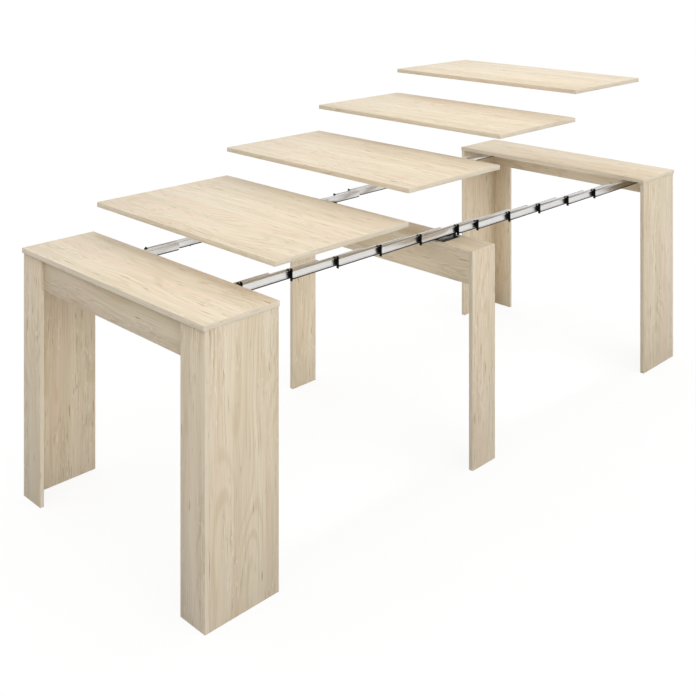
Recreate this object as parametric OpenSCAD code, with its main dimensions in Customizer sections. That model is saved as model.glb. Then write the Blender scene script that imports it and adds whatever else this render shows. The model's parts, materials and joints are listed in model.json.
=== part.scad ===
// Extending console table, pulled out to its full length, with its four loose
// leaves held above the places where they lie.
// Frame: origin on the floor at the middle of the open table, +Z up.
// X runs across the table, and Y along it, from the near end (-Y) to the far end (+Y).

/* [Tops] */
// Width of each end top, across the table
end_top_w = 900; // [800:1:1000]
// Depth of each end top, along the table
end_top_d = 247.5; // [235:0.5:300]
// Height of the tops above the floor
table_h = 754.5; // [720:0.5:790]
// Thickness of the tops, the leaves, the side panels and the middle board
board_t = 15; // [12:0.5:20]

/* [Leaves] */
// How far a leaf stops short of the end tops' width on each side
leaf_inset = 20; // [0:0.5:40]
// Depth of the first leaf, next to the near end top
long_leaf_d = 527; // [500:0.5:560]
// Depth of each of the other three leaves
short_leaf_d = 451.5; // [430:0.5:470]
// Gap along each edge of a seated leaf
leaf_gap = 0.3; // [0.1:0.1:1]
// Height at which the first leaf is held above its seat
first_lift = 97; // [20:1:150]
// How much higher each next leaf is held
lift_step = 99; // [0:1:150]

/* [End frames] */
// How far an end top stands out past each side panel
side_reveal = 1; // [0.5:0.5:10]
// How far an end top stands out past the leg strips
strip_reveal = 5.75; // [1:0.25:15]
// How far the side panels stop short of the end top's inner edge
inner_reveal = 2.75; // [1:0.25:10]
// Width of each leg strip
strip_w = 100.5; // [60:0.5:160]
// Thickness of the leg strips and of the aprons
trim_t = 12; // [9:0.5:18]
// Height of the end aprons, below the tops
end_apron_h = 95.5; // [60:0.5:140]

/* [Middle frame] */
// Gap between the middle frame and the near end's side panels, which slide past it
middle_play = 2; // [1:0.5:6]
// Depth of the middle frame, along the table
middle_d = 118; // [108:1:150]
// How far the closed near top reaches past the middle frame
middle_inset = 9.75; // [5:0.25:30]
// Height of the rails above the middle board, which the brackets bridge
middle_drop = 11.6; // [11:0.1:30]
// Height of the apron, below the middle board
middle_apron_h = 93; // [60:1:140]

/* [Rails] */
// Gap between the last rail and the side panel beside it
rail_side_gap = 68.6; // [20:0.1:120]
// Sideways step from one rail to the next
rail_pitch = 12.7; // [12:0.1:14]
// Gap between the bodies of neighbouring rails
rail_gap = 0.3; // [0.2:0.05:0.5]
// Height of a rail, with its runner
rail_h = 26.4; // [24:0.1:32]
// Height of the spacers between the rails and the end tops
rail_drop = 3.5; // [3:0.1:6]
// Length of a sliding rail that stays beside the rail before it when the table is open
rail_overlap = 114.25; // [60:0.25:130]
// The same length on the first rail, which is screwed to the near top
end_overlap = 109.5; // [60:0.5:130]
// Gap that is left between an end apron and the rail caps of the closed table
apron_play = 1.25; // [0.5:0.25:20]
// How much further the second rail travels than each rail from the third to the seventh
first_extra = 80.75; // [0:0.25:120]
// Travel of the eighth rail past the seventh
middle_step = 89.25; // [60:0.25:110]
// Travel of each rail from the ninth to the twelfth, past the rail before it
far_step = 164.5; // [140:0.25:170]
// Gap between the two end tops when the table is closed
closed_gap = 0.5; // [0.3:0.1:3]

/* [Rail section] */
// Depth of the groove in a rail's outer face
groove_depth = 3.4; // [3:0.1:4]
// Height of the lips that narrow the groove's mouth
groove_lip = 0.8; // [0.4:0.1:1.2]
// Thickness of the flange above the groove
flange_t = 4.4; // [2.5:0.1:5]
// Wall of the hollow web
rail_wall = 1.8; // [1.2:0.1:2.2]
// Thickness of the flange below the groove
foot_flange_t = 0.8; // [0.6:0.1:2]
// Chamfer along the top of a rail's outer side
rail_chamfer = 4; // [0.5:0.1:4.5]
// Thickness of the nylon runner below the rail
runner_t = 3.4; // [2.6:0.1:4.5]
// Height of the lip along the inner side of the runner
runner_lip = 1.6; // [0.4:0.1:1.6]
// Thickness of the runner below the rail's foot
runner_floor = 1; // [0.6:0.1:1.4]
// Thickness of the rail's foot, which the runner is clipped on
foot_t = 1.1; // [0.8:0.1:1.5]
// How far the foot stands out past its neck on each side
foot_lip = 0.9; // [0.4:0.1:1]
// Clearance between pieces that slide past each other
play = 0.3; // [0.2:0.05:0.4]

/* [Rail caps] */
// Thickness of a cap's plate
cap_t = 2; // [1.5:0.1:4]
// Length of the guide shoe in front of the rail
shoe_len = 6.5; // [6:0.5:12]
// Length of the top arm in front of the rail
arm_len = 12; // [8:0.5:13]
// Thickness of the top arm
arm_t = 1; // [0.6:0.1:1.5]
// Length of the lug at the front of the top arm
lug_len = 2.5; // [1.5:0.1:5]
// Length of the spigot inside the rail
spigot_len = 8; // [4:0.5:15]
// Clearance round the spigot
spigot_play = 0.1; // [0.05:0.05:0.2]

/* [Fixings] */
// Diameter of every screw's shank
screw_d = 4; // [3:0.1:4.5]
// Diameter of every screw's head
screw_head_d = 8; // [6:0.1:8.6]
// Height of every screw's head
screw_head_h = 2.2; // [1.5:0.1:3]
// Clearance round a screw in what it passes through
screw_play = 0.15; // [0.05:0.05:0.3]
// How deep a screw bites into a board
screw_bite = 11; // [8:0.5:11.5]
// How far a bracket's screw reaches up into the sixth rail
rail_bite = 8; // [5:0.5:12]
// Diameter of the spacers between the rails and the end tops
spacer_d = 8.8; // [8:0.1:9]
// Number of screws through each rail that is fixed to an end top
rail_screws = 3; // [2:1:5]
// Distance from each end of a rail's fixed stretch to its first screw
screw_inset = 20; // [10:1:30]

/* [Middle brackets] */
// Thickness of the brackets' steel
bracket_t = 2.5; // [1.5:0.1:3]
// Length of a bracket, along the table
bracket_len = 80; // [70:1:100]
// Distance from the middle frame's near face to the brackets
bracket_setback = 14.75; // [1:0.25:20]
// How far a bracket's foot reaches inward from the sixth rail's inner face
bracket_in = 15; // [12:1:30]
// How far a bracket's foot reaches outward from the sixth rail's inner face
bracket_out = 25; // [24:1:40]
// Length of the tab under the sixth rail
tab_len = 44; // [34:1:60]
// Distance from the edges of a bracket to its screws
bracket_screw_inset = 7; // [5.5:0.5:8]

/* [Hidden] */
RAILS = 12;
MIDDLE_RAIL = RAILS / 2;
LEAVES = 4;

function two_digits(k) = str(k < 10 ? "0" : "", k);
function left_rail_name(k) = str("left_rail_", two_digits(k));
function right_rail_name(k) = str("right_rail_", two_digits(k));
function rail_caps_name(k) = str("rail_caps_", two_digits(k));
function leaf_name(i) = str("leaf_", i);

oak = "burlywood";
oak_edge = "wheat";
metal = "silver";
nylon = "dimgray";
steel = "slategray";
dark_steel = "darkslategray";

// How far a cutter reaches past the faces that it goes through
over = 1;
// Facets of a round piece
round_fn = 32;

// Leaves, and lengths of the open table
leaf_w = end_top_w - 2 * leaf_inset;
leaves_l = long_leaf_d + (LEAVES - 1) * short_leaf_d + (LEAVES + 1) * leaf_gap;
open_l = 2 * end_top_d + leaves_l;
near_outer_y = -open_l / 2;
near_inner_y = near_outer_y + end_top_d;
far_inner_y = -near_inner_y;
under_top_z = table_h - board_t;

// End frames
frame_w = end_top_w - 2 * side_reveal;
frame_inside_w = frame_w - 2 * board_t;
strip_y = near_outer_y + strip_reveal;
side_y = strip_y + trim_t;
side_d = near_inner_y - inner_reveal - side_y;

// Rail section, with x outward from the inner face and z up from the runner's underside
rail_w = rail_pitch - rail_gap;
web_w = rail_w - groove_depth;
neck_in_x = rail_wall;
neck_out_x = web_w - rail_wall;
foot_top_z = runner_floor + foot_t;
groove_low_z = runner_t + foot_flange_t;
groove_top_z = rail_h - flange_t;
// The runner's lip takes half of the rail's wall, and stays below the tongue
lip_w = rail_wall / 2;
lip_z = runner_t + min(runner_lip, foot_flange_t + groove_lip);
groove_slope = groove_lip / groove_depth;
// The chamfer leaves this much of the flange's outer edge
flange_edge_t = 1;
chamfer_w = min(rail_chamfer, flange_t + groove_lip - flange_edge_t);
tongue_d = groove_depth + rail_gap - 2 * play;

// Travel: the rails up to the seventh share what the others leave of it, and each rail is as
// long as its travel and its overlap need
full_travel = leaves_l - closed_gap;
near_steps = MIDDLE_RAIL;
far_steps = RAILS - MIDDLE_RAIL - 2;
near_step = (full_travel - first_extra - middle_step - far_steps * far_step) / near_steps;
first_step = near_step + first_extra;
rail_len = near_step + rail_overlap;
end_rail_len = first_step + end_overlap;

// Rails in the table
rail_top_z = under_top_z - rail_drop;
rail_bottom_z = rail_top_z - rail_h;
rail_setback = strip_reveal + 2 * trim_t + apron_play + arm_len;
rail_x = frame_inside_w / 2 - rail_side_gap - rail_w - (RAILS - 1) * rail_pitch;
web_screw_x = web_w / 2;

function step_to(k) = k == 2 ? first_step
    : k <= MIDDLE_RAIL + 1 ? near_step
    : k == MIDDLE_RAIL + 2 ? middle_step
    : far_step;
function reach_of(k) = k <= 1 ? 0 : reach_of(k - 1) + step_to(k);
function rail_start_y(k) = near_outer_y + rail_setback + reach_of(k);
function rail_inner_x(k) = rail_x + (k - 1) * rail_pitch;
function length_of(k) = k == 1 || k == RAILS ? end_rail_len : rail_len;

// Middle frame
middle_w = frame_inside_w - 2 * middle_play;
middle_inside_w = middle_w - 2 * board_t;
middle_top_z = rail_bottom_z - middle_drop;
middle_far_y = near_inner_y + reach_of(MIDDLE_RAIL) - middle_inset;
middle_near_y = middle_far_y - middle_d;

// Caps reach from just over the bracket screws' heads to just under the tops
cap_top_z = under_top_z - play;
cap_bottom_z = middle_top_z + bracket_t + screw_head_h + play;

// Middle brackets
bracket_y = middle_near_y + bracket_setback;
bracket_far_y = bracket_y + bracket_len;
foot_in_x = rail_inner_x(MIDDLE_RAIL) - bracket_in;
foot_out_x = rail_inner_x(MIDDLE_RAIL) + bracket_out;
tab_x = rail_inner_x(MIDDLE_RAIL) + 2 * play;
tab_w = rail_w - 4 * play;
tab_screw_x = rail_inner_x(MIDDLE_RAIL) + web_screw_x;
foot_screw_x = [foot_in_x + bracket_screw_inset, foot_out_x - bracket_screw_inset];
foot_screw_y = [bracket_y + bracket_screw_inset, bracket_far_y - bracket_screw_inset];
tab_screw_y = [bracket_far_y - tab_len + bracket_screw_inset, bracket_far_y - 2 * bracket_screw_inset];

// Evenly spaced screws along a rail between two places
function screw_line(from, to) = [
    for (i = [0 : rail_screws - 1])
        from + screw_inset + i * (to - from - 2 * screw_inset) / (rail_screws - 1)
];
near_screw_y = screw_line(rail_start_y(1), near_inner_y);
far_screw_y = screw_line(far_inner_y, rail_start_y(RAILS) + end_rail_len);

// A flat board from its lowest corner
module board(corner, size) {
    translate(corner) cube(size);
}

// The child drawn on the right, again on the left
module both_sides() {
    children();
    mirror([1, 0, 0]) children();
}

// A section drawn in x and z, run along the table from one place to another
module run(from, to) {
    translate([0, to, 0]) rotate([90, 0, 0]) linear_extrude(to - from) children();
}

// An upright screw's shank, and the hole that it leaves
module shank(x, y, low, high, d) {
    translate([x, y, low]) cylinder(h = high - low, d = d, $fn = round_fn);
}

module screw_hole(x, y, low, high) {
    shank(x, y, low, high, screw_d + 2 * screw_play);
}

// End frames: drawn at the near end, and turned round for the far end
module end_top(screw_x, screw_ys) {
    difference() {
        board([-end_top_w / 2, near_outer_y, under_top_z], [end_top_w, end_top_d, board_t]);
        both_sides()
            for (y = screw_ys) screw_hole(screw_x, y, under_top_z - over, under_top_z + screw_bite + play);
    }
}

module end_side(x) {
    board([x, side_y, 0], [board_t, side_d, under_top_z]);
}

module end_strip(x) {
    board([x, strip_y, 0], [strip_w, trim_t, under_top_z]);
}

module end_apron() {
    board([-frame_inside_w / 2, side_y, under_top_z - end_apron_h], [frame_inside_w, trim_t, end_apron_h]);
}

module far_end() {
    rotate([0, 0, 180]) children();
}

module near_top() {
    color(oak) end_top(rail_inner_x(1) + web_screw_x, near_screw_y);
}

module near_left_side() {
    color(oak_edge) end_side(-frame_w / 2);
}

module near_right_side() {
    color(oak_edge) end_side(frame_inside_w / 2);
}

module near_left_strip() {
    color(oak) end_strip(-frame_w / 2);
}

module near_right_strip() {
    color(oak) end_strip(frame_w / 2 - strip_w);
}

module near_apron() {
    color(oak) end_apron();
}

module far_top() {
    color(oak) far_end() end_top(rail_inner_x(RAILS) + web_screw_x, [for (y = far_screw_y) -y]);
}

module far_left_side() {
    color(oak_edge) far_end() end_side(frame_inside_w / 2);
}

module far_right_side() {
    color(oak_edge) far_end() end_side(-frame_w / 2);
}

module far_left_strip() {
    color(oak) far_end() end_strip(frame_w / 2 - strip_w);
}

module far_right_strip() {
    color(oak) far_end() end_strip(-frame_w / 2);
}

module far_apron() {
    color(oak) far_end() end_apron();
}

// Middle frame: a board on an apron between two narrow side panels
module middle_side(x) {
    board([x, middle_near_y, 0], [board_t, middle_d, middle_top_z]);
}

module middle_board() {
    color(oak) difference() {
        board(
            [-middle_inside_w / 2, middle_near_y, middle_top_z - board_t],
            [middle_inside_w, middle_d, board_t]
        );
        both_sides()
            for (x = foot_screw_x, y = foot_screw_y)
                screw_hole(x, y, middle_top_z - screw_bite - play, middle_top_z + over);
    }
}

module middle_left_side() {
    color(oak_edge) middle_side(-middle_w / 2);
}

module middle_right_side() {
    color(oak_edge) middle_side(middle_inside_w / 2);
}

module middle_apron() {
    color(oak)
        board(
            [-middle_inside_w / 2, middle_near_y, middle_top_z - board_t - middle_apron_h],
            [middle_inside_w, trim_t, middle_apron_h]
        );
}

// Loose leaves, each straight above its seat
function leaf_depth(i) = i == 1 ? long_leaf_d : short_leaf_d;
function leaf_y(i) = i == 1 ? near_inner_y + leaf_gap : leaf_y(i - 1) + leaf_depth(i - 1) + leaf_gap;

module leaf(i) {
    leaf_z = under_top_z + first_lift + (i - 1) * lift_step;
    color(oak) board([-leaf_w / 2, leaf_y(i), leaf_z], [leaf_w, leaf_depth(i), board_t]);
}

// Groove wall's height at a distance outward from a rail's own inner face, in the rail before it
function tongue_low(x) = groove_low_z + groove_lip + play + groove_slope * (x + rail_gap);
function tongue_high(x) = groove_top_z - groove_lip - play - groove_slope * (x + rail_gap);

// The rail's foot, up to a given height of its neck
function foot_points(top) = [
    [neck_in_x, top],
    [neck_in_x, foot_top_z],
    [neck_in_x - foot_lip, foot_top_z],
    [neck_in_x - foot_lip, runner_floor],
    [neck_out_x + foot_lip, runner_floor],
    [neck_out_x + foot_lip, foot_top_z],
    [neck_out_x, foot_top_z],
    [neck_out_x, top],
];

// The tongue that runs in the groove of the rail before, reaching in by a given amount past its root
function tongue_points(root) = [
    [root, tongue_high(0)],
    [0, tongue_high(0)],
    [-tongue_d, tongue_high(-tongue_d)],
    [-tongue_d, tongue_low(-tongue_d)],
    [0, tongue_low(0)],
    [root, tongue_low(0)],
];

module rail_section() {
    difference() {
        union() {
            polygon(concat(
                [[0, rail_h], [0, lip_z], [lip_w, lip_z], [lip_w, runner_t]],
                foot_points(runner_t),
                [
                    [rail_w, runner_t],
                    [rail_w, groove_low_z + groove_lip],
                    [web_w, groove_low_z],
                    [web_w, groove_top_z],
                    [rail_w, groove_top_z - groove_lip],
                    [rail_w, rail_h - chamfer_w],
                    [rail_w - chamfer_w, rail_h],
                ]
            ));
            polygon(tongue_points(rail_wall / 2));
        }
        translate([rail_wall, runner_t + rail_wall])
            square([web_w - 2 * rail_wall, rail_h - runner_t - 2 * rail_wall]);
    }
}

module runner_outline() {
    square([rail_w, runner_t]);
    square([lip_w, lip_z]);
}

// Places of the upright screws that pass through a rail
function rail_screw_y(k) = k == 1 ? near_screw_y
    : k == MIDDLE_RAIL ? tab_screw_y
    : k == RAILS ? far_screw_y
    : [];
function rail_hole_top(k) = k == MIDDLE_RAIL ? rail_bite + play : rail_h + over;

module rail_screw_holes(k) {
    for (y = rail_screw_y(k)) screw_hole(web_screw_x, y, -over, rail_hole_top(k));
}

// The right-hand rail and cap of each stage, in the table's place
module at_rail(k) {
    translate([rail_inner_x(k), 0, rail_bottom_z]) children();
}

module rail(k) {
    at_rail(k) difference() {
        run(rail_start_y(k), rail_start_y(k) + length_of(k)) rail_section();
        rail_screw_holes(k);
    }
}

// The cap's plate, and in front of it the shoe in the groove and the arm over the edge of the
// rail before. The first rail has no rail before it, so its cap is the plate alone.
arm_in_x = -groove_depth + play;
arm_z = rail_h + play;
cap_high = cap_top_z - rail_bottom_z;
cap_low = cap_bottom_z - rail_bottom_z;

module cap_plate(k) {
    translate([0, cap_low]) square([web_w, cap_high - cap_low]);
    if (k > 1) {
        polygon(tongue_points(rail_wall));
        translate([arm_in_x, arm_z]) square([rail_wall - arm_in_x, arm_t]);
    }
}

module cap(k) {
    start = rail_start_y(k);
    spigot_in = rail_wall + spigot_play;
    run(start - cap_t, start) cap_plate(k);
    run(start - cap_t / 2, start + spigot_len)
        translate([spigot_in, runner_t + spigot_in])
            square([web_w - 2 * spigot_in, rail_h - runner_t - 2 * spigot_in]);
    if (k > 1) {
        run(start - shoe_len, start - cap_t / 2) polygon(tongue_points(0));
        run(start - arm_len, start - cap_t / 2) translate([arm_in_x, arm_z]) square([-arm_in_x, arm_t]);
        run(start - arm_len, start - arm_len + lug_len)
            translate([arm_in_x, arm_z]) square([-arm_in_x, cap_high - arm_z]);
    }
}

module runner(k) {
    start = rail_start_y(k);
    difference() {
        run(start - cap_t, start + length_of(k)) runner_outline();
        run(start, start + length_of(k) + over) polygon(foot_points(runner_t + over));
        rail_screw_holes(k);
    }
}

module left_rail(k) {
    color(metal) mirror([1, 0, 0]) rail(k);
}

module right_rail(k) {
    color(metal) rail(k);
}

module rail_caps(k) {
    color(nylon) both_sides() at_rail(k) {
        cap(k);
        runner(k);
    }
}

// Fixings: long screws from below through a rail and a spacer into the end top
module rail_fixings(k, screw_ys) {
    x = rail_inner_x(k) + web_screw_x;
    for (y = screw_ys) {
        shank(x, y, rail_bottom_z - screw_head_h / 2, under_top_z + screw_bite, screw_d);
        shank(x, y, rail_bottom_z - screw_head_h, rail_bottom_z, screw_head_d);
        difference() {
            shank(x, y, rail_top_z, under_top_z, spacer_d);
            screw_hole(x, y, rail_top_z - over, under_top_z + over);
        }
    }
}

module near_rail_fixings() {
    color(steel) both_sides() rail_fixings(1, near_screw_y);
}

module far_rail_fixings() {
    color(steel) both_sides() rail_fixings(RAILS, far_screw_y);
}

// Middle brackets: a foot on the middle board, an upright, and a tab under the sixth rail
module bracket() {
    difference() {
        union() {
            board([foot_in_x, bracket_y, middle_top_z], [foot_out_x - foot_in_x, bracket_len, bracket_t]);
            board([tab_x, bracket_far_y - bracket_t, middle_top_z], [tab_w, bracket_t, middle_drop]);
            board([tab_x, bracket_far_y - tab_len, rail_bottom_z - bracket_t], [tab_w, tab_len, bracket_t]);
        }
        for (x = foot_screw_x, y = foot_screw_y)
            screw_hole(x, y, middle_top_z - over, middle_top_z + bracket_t + over);
        for (y = tab_screw_y)
            screw_hole(tab_screw_x, y, rail_bottom_z - bracket_t - over, rail_bottom_z + over);
    }
}

module bracket_screws() {
    head_z = middle_top_z + bracket_t;
    tab_z = rail_bottom_z - bracket_t;
    for (x = foot_screw_x, y = foot_screw_y) {
        shank(x, y, middle_top_z - screw_bite, head_z + screw_head_h / 2, screw_d);
        shank(x, y, head_z, head_z + screw_head_h, screw_head_d);
    }
    for (y = tab_screw_y) {
        shank(tab_screw_x, y, tab_z - screw_head_h / 2, rail_bottom_z + rail_bite, screw_d);
        shank(tab_screw_x, y, tab_z - screw_head_h, tab_z, screw_head_d);
    }
}

module middle_brackets() {
    color(dark_steel) both_sides() bracket();
}

module middle_bracket_screws() {
    color(dark_steel) both_sides() bracket_screws();
}

near_top();
near_left_side();
near_right_side();
near_left_strip();
near_right_strip();
near_apron();
far_top();
far_left_side();
far_right_side();
far_left_strip();
far_right_strip();
far_apron();
middle_board();
middle_left_side();
middle_right_side();
middle_apron();
for (i = [1 : LEAVES]) {
    leaf(i);
}
for (k = [1 : RAILS]) {
    left_rail(k);
    right_rail(k);
    rail_caps(k);
}
near_rail_fixings();
far_rail_fixings();
middle_brackets();
middle_bracket_screws();
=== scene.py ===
import json
import math
import random

import bmesh
import bpy
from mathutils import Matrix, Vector

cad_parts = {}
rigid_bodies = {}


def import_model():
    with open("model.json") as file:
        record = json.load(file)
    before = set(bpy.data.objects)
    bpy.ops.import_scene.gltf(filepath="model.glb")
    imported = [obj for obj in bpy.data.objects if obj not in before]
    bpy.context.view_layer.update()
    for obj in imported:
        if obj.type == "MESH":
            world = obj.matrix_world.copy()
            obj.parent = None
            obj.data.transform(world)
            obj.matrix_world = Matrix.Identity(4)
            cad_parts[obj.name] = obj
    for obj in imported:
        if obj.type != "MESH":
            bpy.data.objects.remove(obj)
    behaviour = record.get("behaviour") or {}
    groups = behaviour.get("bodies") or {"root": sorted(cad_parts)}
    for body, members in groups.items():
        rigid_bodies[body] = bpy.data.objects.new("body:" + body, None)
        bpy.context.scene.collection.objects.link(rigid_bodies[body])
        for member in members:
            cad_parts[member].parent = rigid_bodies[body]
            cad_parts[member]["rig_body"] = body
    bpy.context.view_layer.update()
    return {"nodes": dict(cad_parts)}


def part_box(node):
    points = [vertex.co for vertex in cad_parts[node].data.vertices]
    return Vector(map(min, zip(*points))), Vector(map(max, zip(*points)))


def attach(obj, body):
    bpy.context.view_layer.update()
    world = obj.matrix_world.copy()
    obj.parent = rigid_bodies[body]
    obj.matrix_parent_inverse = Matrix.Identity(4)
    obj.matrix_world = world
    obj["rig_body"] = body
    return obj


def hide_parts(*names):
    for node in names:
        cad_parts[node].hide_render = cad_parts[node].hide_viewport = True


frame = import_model()
cadNodes = frame["nodes"]
mm = 0.001
print("frame loaded:", len(cadNodes), "nodes")


# Small helpers for nodes and meshes

def linearFromHex(code):
    # sRGB hex to the linear colour that the shader sockets take
    channels = [int(code[i:i + 2], 16) / 255 for i in (1, 3, 5)]
    return tuple(c / 12.92 if c <= 0.04045 else ((c + 0.055) / 1.055) ** 2.4 for c in channels) + (1.0,)


def addNode(tree, kind, settings=None, inputs=None):
    # inputs maps a socket's name or number to a value, or to another node's output
    node = tree.nodes.new(kind)
    for name, value in (settings or {}).items():
        setattr(node, name, value)
    for key, value in (inputs or {}).items():
        socket = node.inputs[key]
        if isinstance(value, bpy.types.NodeSocket):
            tree.links.new(value, socket)
        else:
            socket.default_value = value
    return node


def newMaterial(name):
    material = bpy.data.materials.new(name)
    material.use_nodes = True
    material.node_tree.nodes.clear()
    return material, material.node_tree


def selectOnly(thing):
    bpy.ops.object.select_all(action="DESELECT")
    thing.select_set(True)
    bpy.context.view_layer.objects.active = thing


def selectFaces(thing, wanted):
    # faces are picked in edit mode by a test on the bmesh face
    bpy.ops.mesh.select_mode(type="FACE")
    bpy.ops.mesh.select_all(action="DESELECT")
    shape = bmesh.from_edit_mesh(thing.data)
    for face in shape.faces:
        if wanted(face):
            face.select_set(True)
    bmesh.update_edit_mesh(thing.data)


def selectEdges(thing, wanted):
    bpy.ops.mesh.select_mode(type="EDGE")
    bpy.ops.mesh.select_all(action="DESELECT")
    shape = bmesh.from_edit_mesh(thing.data)
    for edge in shape.edges:
        if wanted(edge):
            edge.select_set(True)
    bmesh.update_edit_mesh(thing.data)


def finishPiece(piece, node):
    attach(piece, cadNodes[node]["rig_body"])
    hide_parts(node)


# Printed oak of the boards

oak = {
    "pale": "#E9DBC3",     # sapwood ground of the printed oak
    "tan": "#DFD0B6",      # darker growth bands
    "pink": "#E6CFB8",     # reddish bands
    "ring": "#CDB995",     # growth rings, cut into long loops
    "streak": "#C8B593",   # fine grain between the rings
    "mark": "#A68E6A",     # short dark pore marks
    "crack": "#8E7454",    # rare dark cracks of rustic oak
    "fleck": "#F8F2E4",    # whitish medullary flecks
    # length and width of one feature, detail, roughness, and the pattern's place in the noise
    "patterns": {
        "sway": (520 * mm, 110 * mm, 1.0, 0.5, 3.1),
        "ripple": (120 * mm, 30 * mm, 1.0, 0.5, 19.4),
        "bands": (900 * mm, 30 * mm, 2.0, 0.55, 11.7),
        "pinks": (900 * mm, 42 * mm, 1.0, 0.5, 27.3),
        "loops": (800 * mm, 140 * mm, 1.0, 0.4, 8.8),
        "ringPatches": (300 * mm, 70 * mm, 1.0, 0.5, 52.1),
        # real pores are 0.3 mm wide, and these are drawn as coarse as they need to show
        "streaks": (210 * mm, 2.8 * mm, 2.0, 0.6, 5.9),
        "marks": (65 * mm, 2.8 * mm, 1.0, 0.5, 41.2),
        "markPatches": (240 * mm, 60 * mm, 1.0, 0.5, 63.5),
        "cracks": (75 * mm, 7 * mm, 1.0, 0.5, 93.1),
        "flecks": (20 * mm, 2.6 * mm, 0.0, 0.5, 77.7),
    },
    # the noise level at which each starts to show and shows in full, and how strongly
    "shows": {
        "bands": (0.36, 0.66, 1.0),
        "pinks": (0.52, 0.72, 0.7),
        "rings": (-0.1, 1.0, 0.42),
        "ringPatches": (0.4, 0.62, 1.0),
        "streaks": (0.46, 0.72, 0.54),
        "marks": (0.6, 0.7, 0.5),
        "markPatches": (0.42, 0.6, 1.0),
        "cracks": (0.69, 0.78, 0.7),
        "flecks": (0.66, 0.78, 0.55),
        "fleckPatches": (0.44, 0.58, 1.0),
    },
    "ringCount": 120,              # rings over the whole range of the loop pattern
    "swayWidth": 28 * mm,          # how far the grain sways sideways
    "rippleWidth": 6 * mm,         # and its smaller waves
    "roughness": (0.42, 0.56),     # of the satin resin, and of the embossed pores
    "embossing": (0.25, 0.05 * mm),   # strength and depth
    "edgeBandLift": 0.26,          # edge bands are printed this much nearer to the fleck colour
}


def oakMelamine(name, lift=0.0):
    # Melamine-faced particle board with a printed pale oak: satin resin surface, matt in the
    # embossed pores. The grain runs along u of the piece's own UV map, in metres.
    material, tree = newMaterial(name)
    uv = addNode(tree, "ShaderNodeUVMap", {"uv_map": "grain"}).outputs[0]
    parts = addNode(tree, "ShaderNodeSeparateXYZ", None, {0: uv})
    along, across = parts.outputs[0], parts.outputs[1]

    def pattern(key, sideways):
        length, width, detail, rough, seed = oak["patterns"][key]
        u = addNode(tree, "ShaderNodeMath", {"operation": "DIVIDE"}, {0: along, 1: length})
        v = addNode(tree, "ShaderNodeMath", {"operation": "DIVIDE"}, {0: sideways, 1: width})
        place = addNode(tree, "ShaderNodeCombineXYZ", None, {0: u.outputs[0], 1: v.outputs[0], 2: seed})
        noise = addNode(tree, "ShaderNodeTexNoise", {"noise_dimensions": "3D"},
                        {"Vector": place.outputs[0], "Scale": 1.0, "Detail": detail, "Roughness": rough})
        return noise.outputs[0]

    def spread(key, value):
        low, high, top = oak["shows"][key]
        ramp = addNode(tree, "ShaderNodeMapRange", {"interpolation_type": "SMOOTHSTEP"},
                       {"Value": value, "From Min": low, "From Max": high, "To Min": 0.0, "To Max": top})
        return ramp.outputs[0]

    def maths(operation, first, second, third=0.0):
        node = addNode(tree, "ShaderNodeMath", {"operation": operation}, {0: first, 1: second, 2: third})
        return node.outputs[0]

    def blend(factor, under, over):
        mix = addNode(tree, "ShaderNodeMix", {"data_type": "RGBA"},
                      {0: factor, 6: under, 7: linearFromHex(oak[over])})
        return mix.outputs[2]

    swayed = maths("MULTIPLY_ADD", pattern("sway", across), oak["swayWidth"], across)
    rippled = maths("MULTIPLY_ADD", pattern("ripple", across), oak["rippleWidth"], swayed)
    streaks = pattern("streaks", rippled)
    marks = pattern("marks", rippled)
    markPatches = pattern("markPatches", swayed)

    colour = blend(spread("bands", pattern("bands", swayed)), linearFromHex(oak["pale"]), "tan")
    colour = blend(spread("pinks", pattern("pinks", swayed)), colour, "pink")
    rings = maths("SINE", maths("MULTIPLY", pattern("loops", rippled), oak["ringCount"]), 0.0)
    ringPatches = spread("ringPatches", pattern("ringPatches", swayed))
    colour = blend(maths("MULTIPLY", spread("rings", rings), ringPatches), colour, "ring")
    colour = blend(spread("streaks", streaks), colour, "streak")
    darks = maths("MULTIPLY", spread("marks", marks), spread("markPatches", markPatches))
    colour = blend(darks, colour, "mark")
    colour = blend(spread("cracks", pattern("cracks", rippled)), colour, "crack")
    flecks = spread("flecks", pattern("flecks", rippled))
    whites = maths("MULTIPLY", flecks, spread("fleckPatches", markPatches))
    colour = blend(whites, colour, "fleck")
    if lift:
        colour = blend(lift, colour, "fleck")

    satin, matt = oak["roughness"]
    rough = addNode(tree, "ShaderNodeMapRange", None,
                    {"Value": marks, "From Min": 0.4, "From Max": 0.7, "To Min": satin, "To Max": matt})
    strength, depth = oak["embossing"]
    relief = addNode(tree, "ShaderNodeBump", None,
                     {"Strength": strength, "Distance": depth, "Height": streaks})
    shader = addNode(tree, "ShaderNodeBsdfPrincipled", None, {
        "Base Color": colour, "Roughness": rough.outputs[0], "IOR": 1.5, "Normal": relief.outputs[0]})
    addNode(tree, "ShaderNodeOutputMaterial", None, {0: shader.outputs[0]})
    return material


# Finishes of the rails, their mouldings, the brackets and the screws. The black runner strips among the
# mouldings are painted shade, and the brackets' black is partly painted shade, both under the rails. Each has
# two colours that a noise mixes, the noise's features in a metre, a roughness range, and the relief's
# strength and depth.

railFinish = {
    "colours": ("#DAD9D7", "#E5E4E1"),
    "clouds": 22.0,
    "dieLines": (2500, 2, 2500),   # 0.4 mm apart, drawn out over half a metre along the rail
    "roughness": (0.2, 0.3),
    "relief": (0.15, 0.01 * mm),
}

# black of the end caps, and of the runner strips along the rails' bottoms, which are painted shade for the
# shade under the rails' lower lip
nylonAndShadeFinish = {
    "colours": ("#050506", "#0C0C0D"),
    "grain": 1600.0,               # 0.6 mm spark grain
    "roughness": (0.34, 0.5),
    "relief": (0.2, 0.03 * mm),
    "specular": 0.12,
}

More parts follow.
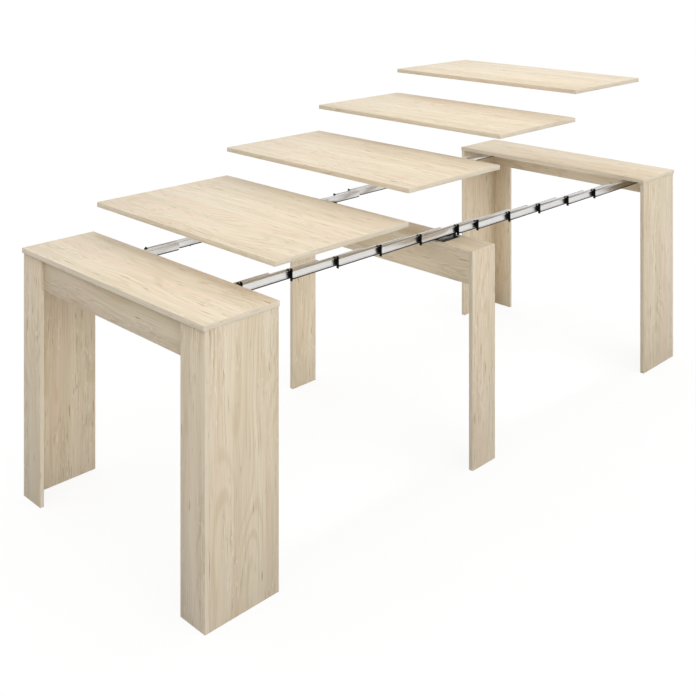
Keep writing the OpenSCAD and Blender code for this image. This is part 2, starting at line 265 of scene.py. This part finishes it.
zincFinish = {
    "colours": ("#B9BCC0", "#D3D5D6"),
    "clouds": 400.0,               # 2.5 mm passivation clouds
    "roughness": (0.26, 0.42),
}

# black of the brackets under the middle rails and of their screws, partly painted shade for the shaded gap
# between the rails' bottoms and the middle board
blackAndShadeFinish = {
    "colours": ("#131314", "#1B1B1C"),
    "peel": 900.0,                 # 1.1 mm orange peel
    "roughness": (0.28, 0.36),
    "relief": (0.15, 0.03 * mm),
}

noiseRange = {"From Min": 0.3, "From Max": 0.7}   # where nearly all of a noise's values lie


def anodisedAluminium():
    # Extruded aluminium, natural anodised: satin bright, with fine die lines along the rail
    material, tree = newMaterial("anodisedAluminium")
    place = addNode(tree, "ShaderNodeTexCoord").outputs["Object"]
    scaled = addNode(tree, "ShaderNodeMapping", None,
                     {"Vector": place, "Scale": railFinish["dieLines"]}).outputs[0]
    lines = addNode(tree, "ShaderNodeTexNoise", None,
                    {"Vector": scaled, "Scale": 1.0, "Detail": 2.0, "Roughness": 0.5}).outputs[0]
    cloud = addNode(tree, "ShaderNodeTexNoise", None, {
        "Vector": place, "Scale": railFinish["clouds"], "Detail": 2.0, "Roughness": 0.5}).outputs[0]
    dull, bright = railFinish["colours"]
    colour = addNode(tree, "ShaderNodeMix", {"data_type": "RGBA"},
                     {0: cloud, 6: linearFromHex(dull), 7: linearFromHex(bright)}).outputs[2]
    smooth, rough = railFinish["roughness"]
    gloss = addNode(tree, "ShaderNodeMapRange", None,
                    {"Value": lines, **noiseRange, "To Min": smooth, "To Max": rough})
    strength, depth = railFinish["relief"]
    relief = addNode(tree, "ShaderNodeBump", None, {"Strength": strength, "Distance": depth, "Height": lines})
    shader = addNode(tree, "ShaderNodeBsdfPrincipled", None, {
        "Base Color": colour, "Metallic": 1.0, "Roughness": gloss.outputs[0], "Normal": relief.outputs[0]})
    addNode(tree, "ShaderNodeOutputMaterial", None, {0: shader.outputs[0]})
    return material


def mouldedNylonAndPaintedShade():
    # Injection-moulded black polyamide: dark, with a soft sheen from a lightly sparked mould. It colours the
    # end caps, and also the runner strips along the rails' bottoms, which are painted shade: a black line
    # standing in for the shade under the rails' lower lip
    material, tree = newMaterial("mouldedNylonAndPaintedShade")
    place = addNode(tree, "ShaderNodeTexCoord").outputs["Object"]
    grain = addNode(tree, "ShaderNodeTexNoise", None, {
        "Vector": place, "Scale": nylonAndShadeFinish["grain"], "Detail": 2.0, "Roughness": 0.6}).outputs[0]
    dark, light = nylonAndShadeFinish["colours"]
    colour = addNode(tree, "ShaderNodeMix", {"data_type": "RGBA"},
                     {0: grain, 6: linearFromHex(dark), 7: linearFromHex(light)}).outputs[2]
    smooth, rough = nylonAndShadeFinish["roughness"]
    gloss = addNode(tree, "ShaderNodeMapRange", None,
                    {"Value": grain, **noiseRange, "To Min": smooth, "To Max": rough})
    strength, depth = nylonAndShadeFinish["relief"]
    relief = addNode(tree, "ShaderNodeBump", None, {"Strength": strength, "Distance": depth, "Height": grain})
    shader = addNode(tree, "ShaderNodeBsdfPrincipled", None, {
        "Base Color": colour, "Roughness": gloss.outputs[0], "IOR": 1.53,
        "Specular IOR Level": nylonAndShadeFinish["specular"], "Normal": relief.outputs[0]})
    addNode(tree, "ShaderNodeOutputMaterial", None, {0: shader.outputs[0]})
    return material


def zincPlatedSteel():
    # Zinc-plated steel of the screws: pale bluish metal, slightly cloudy from the passivation
    material, tree = newMaterial("zincPlatedSteel")
    place = addNode(tree, "ShaderNodeTexCoord").outputs["Object"]
    cloud = addNode(tree, "ShaderNodeTexNoise", None, {
        "Vector": place, "Scale": zincFinish["clouds"], "Detail": 2.0, "Roughness": 0.6}).outputs[0]
    dull, bright = zincFinish["colours"]
    colour = addNode(tree, "ShaderNodeMix", {"data_type": "RGBA"},
                     {0: cloud, 6: linearFromHex(dull), 7: linearFromHex(bright)}).outputs[2]
    smooth, rough = zincFinish["roughness"]
    gloss = addNode(tree, "ShaderNodeMapRange", None,
                    {"Value": cloud, **noiseRange, "To Min": smooth, "To Max": rough})
    shader = addNode(tree, "ShaderNodeBsdfPrincipled", None, {
        "Base Color": colour, "Metallic": 1.0, "Roughness": gloss.outputs[0]})
    addNode(tree, "ShaderNodeOutputMaterial", None, {0: shader.outputs[0]})
    return material


def blackCoatAndPaintedShade():
    # Black powder coat on the pressed brackets and their screws: semi-gloss, with a fine orange peel. The
    # black is partly painted shade: it stands in for the shade in the gap between the rails' bottoms and the
    # middle board
    material, tree = newMaterial("blackCoatAndPaintedShade")
    place = addNode(tree, "ShaderNodeTexCoord").outputs["Object"]
    peel = addNode(tree, "ShaderNodeTexNoise", None, {
        "Vector": place, "Scale": blackAndShadeFinish["peel"], "Detail": 1.0, "Roughness": 0.5}).outputs[0]
    dark, light = blackAndShadeFinish["colours"]
    colour = addNode(tree, "ShaderNodeMix", {"data_type": "RGBA"},
                     {0: peel, 6: linearFromHex(dark), 7: linearFromHex(light)}).outputs[2]
    smooth, rough = blackAndShadeFinish["roughness"]
    gloss = addNode(tree, "ShaderNodeMapRange", None,
                    {"Value": peel, **noiseRange, "To Min": smooth, "To Max": rough})
    strength, depth = blackAndShadeFinish["relief"]
    relief = addNode(tree, "ShaderNodeBump", None, {"Strength": strength, "Distance": depth, "Height": peel})
    shader = addNode(tree, "ShaderNodeBsdfPrincipled", None, {
        "Base Color": colour, "Roughness": gloss.outputs[0], "IOR": 1.5, "Normal": relief.outputs[0]})
    addNode(tree, "ShaderNodeOutputMaterial", None, {0: shader.outputs[0]})
    return material


faceOak = oakMelamine("oakMelamine")
bandOak = oakMelamine("oakEdgeBand", oak["edgeBandLift"])
aluminium = anodisedAluminium()
capsAndShadeNylon = mouldedNylonAndPaintedShade()
zincSteel = zincPlatedSteel()
blackAndShadeSteel = blackCoatAndPaintedShade()
print("finishes made")


# Boards

board = {
    "bandThickness": 0.8 * mm,   # edge band, seen as a fine line round each broad face
    "jointWidth": 0.12 * mm,     # half the width of that line
    "jointDepth": 0.12 * mm,
    "edgeRadius": 0.6 * mm,      # the band's edges are scraped round
    "edgeSegments": 2,
    "smoothAngle": 50,
    "atCorner": 0.1 * mm,        # a point this near to the board's corner is one of its corners
    "grainShift": 40,            # each face takes its grain from another place of the print, in m
    "firstSeed": 100,
}

boardNodes = [
    "near_top", "near_left_side", "near_right_side", "near_left_strip", "near_right_strip", "near_apron",
    "far_top", "far_left_side", "far_right_side", "far_left_strip", "far_right_strip", "far_apron",
    "middle_board", "middle_left_side", "middle_right_side", "middle_apron",
    "leaf_1", "leaf_2", "leaf_3", "leaf_4",
]


def layGrain(piece, size, offsets):
    # UV in metres: u along the longest side of each face, and v across it
    mesh = piece.data
    layer = mesh.uv_layers.new(name="grain")
    order = sorted(range(3), key=lambda axis: -size[axis])
    for face in mesh.polygons:
        normal = face.normal
        facing = max(range(3), key=lambda axis: abs(normal[axis]))
        u, v = [axis for axis in order if axis != facing]
        side = facing * 2 + (1 if normal[facing] > 0 else 0)
        du, dv = offsets[side]
        for loop in face.loop_indices:
            place = mesh.vertices[mesh.loops[loop].vertex_index].co
            layer.data[loop].uv = (place[u] + du, place[v] + dv)


def makeBoard(node):
    low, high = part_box(node)
    size = high - low
    thin = min(range(3), key=lambda axis: size[axis])
    bpy.ops.object.select_all(action="DESELECT")
    bpy.ops.mesh.primitive_cube_add(size=1, location=(low + high) / 2, scale=size)
    piece = bpy.context.object
    piece.name = node + "_board"
    bpy.ops.object.transform_apply(location=True, rotation=True, scale=True)
    bpy.ops.object.mode_set(mode="EDIT")
    # the joint between the face and the edge band is a small groove in both broad faces
    selectFaces(piece, lambda face: abs(face.normal[thin]) > 0.9)
    bpy.ops.mesh.inset(thickness=board["bandThickness"], depth=0)
    bpy.ops.mesh.inset(thickness=board["jointWidth"], depth=-board["jointDepth"])
    bpy.ops.mesh.inset(thickness=board["jointWidth"], depth=board["jointDepth"])

    def atCorner(place):
        return all(min(abs(place[a] - low[a]), abs(place[a] - high[a])) < board["atCorner"] for a in range(3))

    selectEdges(piece, lambda edge: all(atCorner(vert.co) for vert in edge.verts))
    bpy.ops.mesh.bevel(offset=board["edgeRadius"], segments=board["edgeSegments"], affect="EDGES")
    bpy.ops.object.mode_set(mode="OBJECT")
    return piece, low, high, size, thin


def paintBoard(piece, low, high, size, thin, number):
    piece.data.materials.append(faceOak)
    piece.data.materials.append(bandOak)
    for face in piece.data.polygons:
        centre = face.center
        onBand = any(min(centre[a] - low[a], high[a] - centre[a]) < board["bandThickness"] * 0.9
                     for a in range(3) if a != thin)
        face.material_index = 1 if onBand else 0
    dice = random.Random(board["firstSeed"] + number)
    shift = board["grainShift"]
    layGrain(piece, size, [(dice.uniform(0, shift), dice.uniform(0, shift)) for _ in range(6)])
    selectOnly(piece)
    bpy.ops.object.shade_smooth_by_angle(angle=math.radians(board["smoothAngle"]))


for number, node in enumerate(boardNodes):
    piece, low, high, size, thin = makeBoard(node)
    paintBoard(piece, low, high, size, thin, number)
    finishPiece(piece, node)
print("boards made:", len(boardNodes))


# Rails, caps, brackets and screws

softened = {
    "rail": 0.25 * mm,        # broken edges of the extrusion
    "caps": 0.3 * mm,         # mould radii
    "bracket": 0.5 * mm,      # pressed sheet edges, and the screws' heads
    "segments": 2,
    "sharpAngle": 30,         # edges sharper than this are rounded
    "smoothAngle": 40,
    "mergeDistance": 0.01 * mm,
    "flatAngle": 1,           # faces within this angle become one
    "stages": 12,             # rails on each side
}


def softenNode(node, name, radius, material):
    # the CAD node's own shape, merged to flat faces, with its edges rounded
    piece = bpy.data.objects.new(name, cadNodes[node].data.copy())
    bpy.context.scene.collection.objects.link(piece)
    selectOnly(piece)
    bpy.ops.object.mode_set(mode="EDIT")
    bpy.ops.mesh.select_mode(type="VERT")
    bpy.ops.mesh.select_all(action="SELECT")
    bpy.ops.mesh.remove_doubles(threshold=softened["mergeDistance"])
    bpy.ops.mesh.dissolve_limited(angle_limit=math.radians(softened["flatAngle"]))
    bpy.ops.object.mode_set(mode="OBJECT")
    piece.data.materials.clear()
    piece.data.materials.append(material)
    rounded = piece.modifiers.new("rounded", "BEVEL")
    rounded.width = radius
    rounded.segments = softened["segments"]
    rounded.limit_method = "ANGLE"
    rounded.angle_limit = math.radians(softened["sharpAngle"])
    rounded.use_clamp_overlap = True
    bpy.ops.object.modifier_apply(modifier=rounded.name)
    bpy.ops.object.shade_smooth_by_angle(angle=math.radians(softened["smoothAngle"]))
    finishPiece(piece, node)


stages = range(1, softened["stages"] + 1)
for side in ("left", "right"):
    for k in stages:
        node = f"{side}_rail_{k:02d}"
        softenNode(node, node + "_profile", softened["rail"], aluminium)
# the mouldings are the black end caps, and black runner strips along each rail's bottom that are painted
# shade, where the rails' underside is only in shade
for k in stages:
    node = f"rail_caps_{k:02d}"
    softenNode(node, node + "_caps_and_painted_shade_runners", softened["caps"], capsAndShadeNylon)
# the brackets' black is partly painted shade, for the shaded gap under the rails
for node in ("middle_brackets", "middle_bracket_screws"):
    softenNode(node, node + "_steel", softened["bracket"], blackAndShadeSteel)
for node in ("near_rail_fixings", "far_rail_fixings"):
    softenNode(node, node + "_steel", softened["bracket"], zincSteel)
print("rails, caps and brackets made")


# Floor, light and camera

studio = {
    "floorSize": 160.0,
    "floorColour": "#C0BFBD",
    "floorGlow": 0.88,         # share of the floor's white that the camera sees without light
    "skyLight": 0.1,
    # what reflections see: white at the horizon, and a greyer ceiling. Heights are sines.
    "reflectedLow": 0.38,
    "reflectedHigh": 0.68,
    "reflectedCeiling": 0.35,
    # broad lamps: direction towards the lamp, strength, spread in degrees
    "lamps": {
        "rightSoftbox": ((0.90, 0.28, 0.34), 0.26, 36),
        "frontRightSoftbox": ((0.85, -0.24, 0.25), 0.53, 30),
        "ceilingPanel": ((0.0, 0.0, 1.0), 3.0, 130),
    },
    # panels: place, target, size, watts. Two low ones fill the frames' inner sides, and one
    # hangs over the far leaves.
    "panels": {
        "nearLowPanel": ((0.36, -0.55, 0.36), (-0.44, -0.55, 0.36), 0.5, 1.2),
        "farLowPanel": ((0.36, 0.55, 0.36), (-0.44, 0.6, 0.36), 0.5, 1.9),
        "farHighPanel": ((-0.2, 0.9, 2.9), (-0.2, 0.9, 0.0), 1.2, 4.0),
    },
}
white = (1, 1, 1, 1)


def seenAsWhite(tree):
    # 1 for the rays to which floor and world look like a white studio: straight, mirrored and
    # through glass. Light that falls on the table has 0.
    path = addNode(tree, "ShaderNodeLightPath")
    seen = addNode(tree, "ShaderNodeMath", {"operation": "MAXIMUM"},
                   {0: path.outputs["Is Camera Ray"], 1: path.outputs["Is Glossy Ray"]})
    seen = addNode(tree, "ShaderNodeMath", {"operation": "MAXIMUM"},
                   {0: seen.outputs[0], 1: path.outputs["Is Transmission Ray"]})
    return path, seen.outputs[0]


def makeFloor():
    bpy.ops.object.select_all(action="DESELECT")
    bpy.ops.mesh.primitive_plane_add(size=studio["floorSize"], location=(0, 0, 0))
    floor = bpy.context.object
    floor.name = "studio_floor"
    material, tree = newMaterial("studioFloor")
    seen = seenAsWhite(tree)[1]
    lit = addNode(tree, "ShaderNodeBsdfDiffuse", None, {"Color": linearFromHex(studio["floorColour"])})
    share = 1 - studio["floorGlow"]
    dim = addNode(tree, "ShaderNodeBsdfDiffuse", None, {"Color": (share, share, share, 1)})
    glow = addNode(tree, "ShaderNodeEmission", None, {"Color": white, "Strength": studio["floorGlow"]})
    bright = addNode(tree, "ShaderNodeAddShader", None, {0: dim.outputs[0], 1: glow.outputs[0]})
    chosen = addNode(tree, "ShaderNodeMixShader", None, {0: seen, 1: lit.outputs[0], 2: bright.outputs[0]})
    addNode(tree, "ShaderNodeOutputMaterial", None, {0: chosen.outputs[0]})
    floor.data.materials.append(material)


def makeWorld():
    world = bpy.data.worlds.new("studioWorld")
    bpy.context.scene.world = world
    world.use_nodes = True
    tree = world.node_tree
    tree.nodes.clear()
    path, seen = seenAsWhite(tree)
    sky = addNode(tree, "ShaderNodeBackground", None, {0: white, 1: studio["skyLight"]})
    ray = addNode(tree, "ShaderNodeTexCoord").outputs["Generated"]
    height = addNode(tree, "ShaderNodeSeparateXYZ", None, {0: ray}).outputs[2]
    room = addNode(tree, "ShaderNodeMapRange", {"interpolation_type": "SMOOTHSTEP"}, {
        "Value": height, "From Min": studio["reflectedLow"], "From Max": studio["reflectedHigh"],
        "To Min": 1.0, "To Max": studio["reflectedCeiling"]})
    level = addNode(tree, "ShaderNodeMath", {"operation": "MAXIMUM"},
                    {0: path.outputs["Is Camera Ray"], 1: room.outputs[0]})
    bright = addNode(tree, "ShaderNodeBackground", None, {0: white, 1: level.outputs[0]})
    chosen = addNode(tree, "ShaderNodeMixShader", None, {0: seen, 1: sky.outputs[0], 2: bright.outputs[0]})
    addNode(tree, "ShaderNodeOutputWorld", None, {0: chosen.outputs[0]})


def makeLamp(name, direction, strength, spread):
    lamp = bpy.data.lights.new(name, "SUN")
    lamp.energy = strength
    lamp.angle = math.radians(spread)
    thing = bpy.data.objects.new(name, lamp)
    bpy.context.scene.collection.objects.link(thing)
    thing.rotation_euler = Vector(direction).to_track_quat("Z", "Y").to_euler()
    # the ceiling panel lights the boards, but the rails don't mirror it
    thing.visible_glossy = name != "ceilingPanel"


def makePanel(name, place, target, size, power):
    lamp = bpy.data.lights.new(name, "AREA")
    lamp.size = size
    lamp.energy = power
    thing = bpy.data.objects.new(name, lamp)
    bpy.context.scene.collection.objects.link(thing)
    thing.location = place
    thing.rotation_euler = (Vector(place) - Vector(target)).to_track_quat("Z", "Y").to_euler()
    thing.visible_camera = False
    thing.visible_glossy = False


camera = {
    "place": (2.4645, -2.7243, 1.6952),
    "turn": 44.729,        # level, turned to the left of the table's length
    "lens": 53.53,
    "sensor": 36,
    "shiftY": -0.5894,     # the picture lies below the level view, with upright edges kept upright
    "farthest": 400,
}


def makeCamera():
    view = bpy.data.cameras.new("photoView")
    view.sensor_width = camera["sensor"]
    view.lens = camera["lens"]
    view.shift_y = camera["shiftY"]
    view.clip_end = camera["farthest"]
    thing = bpy.data.objects.new("photoView", view)
    bpy.context.scene.collection.objects.link(thing)
    thing.location = camera["place"]
    thing.rotation_euler = (math.radians(90), 0, math.radians(camera["turn"]))
    bpy.context.scene.camera = thing


makeFloor()
makeWorld()
for name, setting in studio["lamps"].items():
    makeLamp(name, *setting)
for name, setting in studio["panels"].items():
    makePanel(name, *setting)
makeCamera()
bpy.context.scene.view_settings.view_transform = "Standard"
print("studio made")
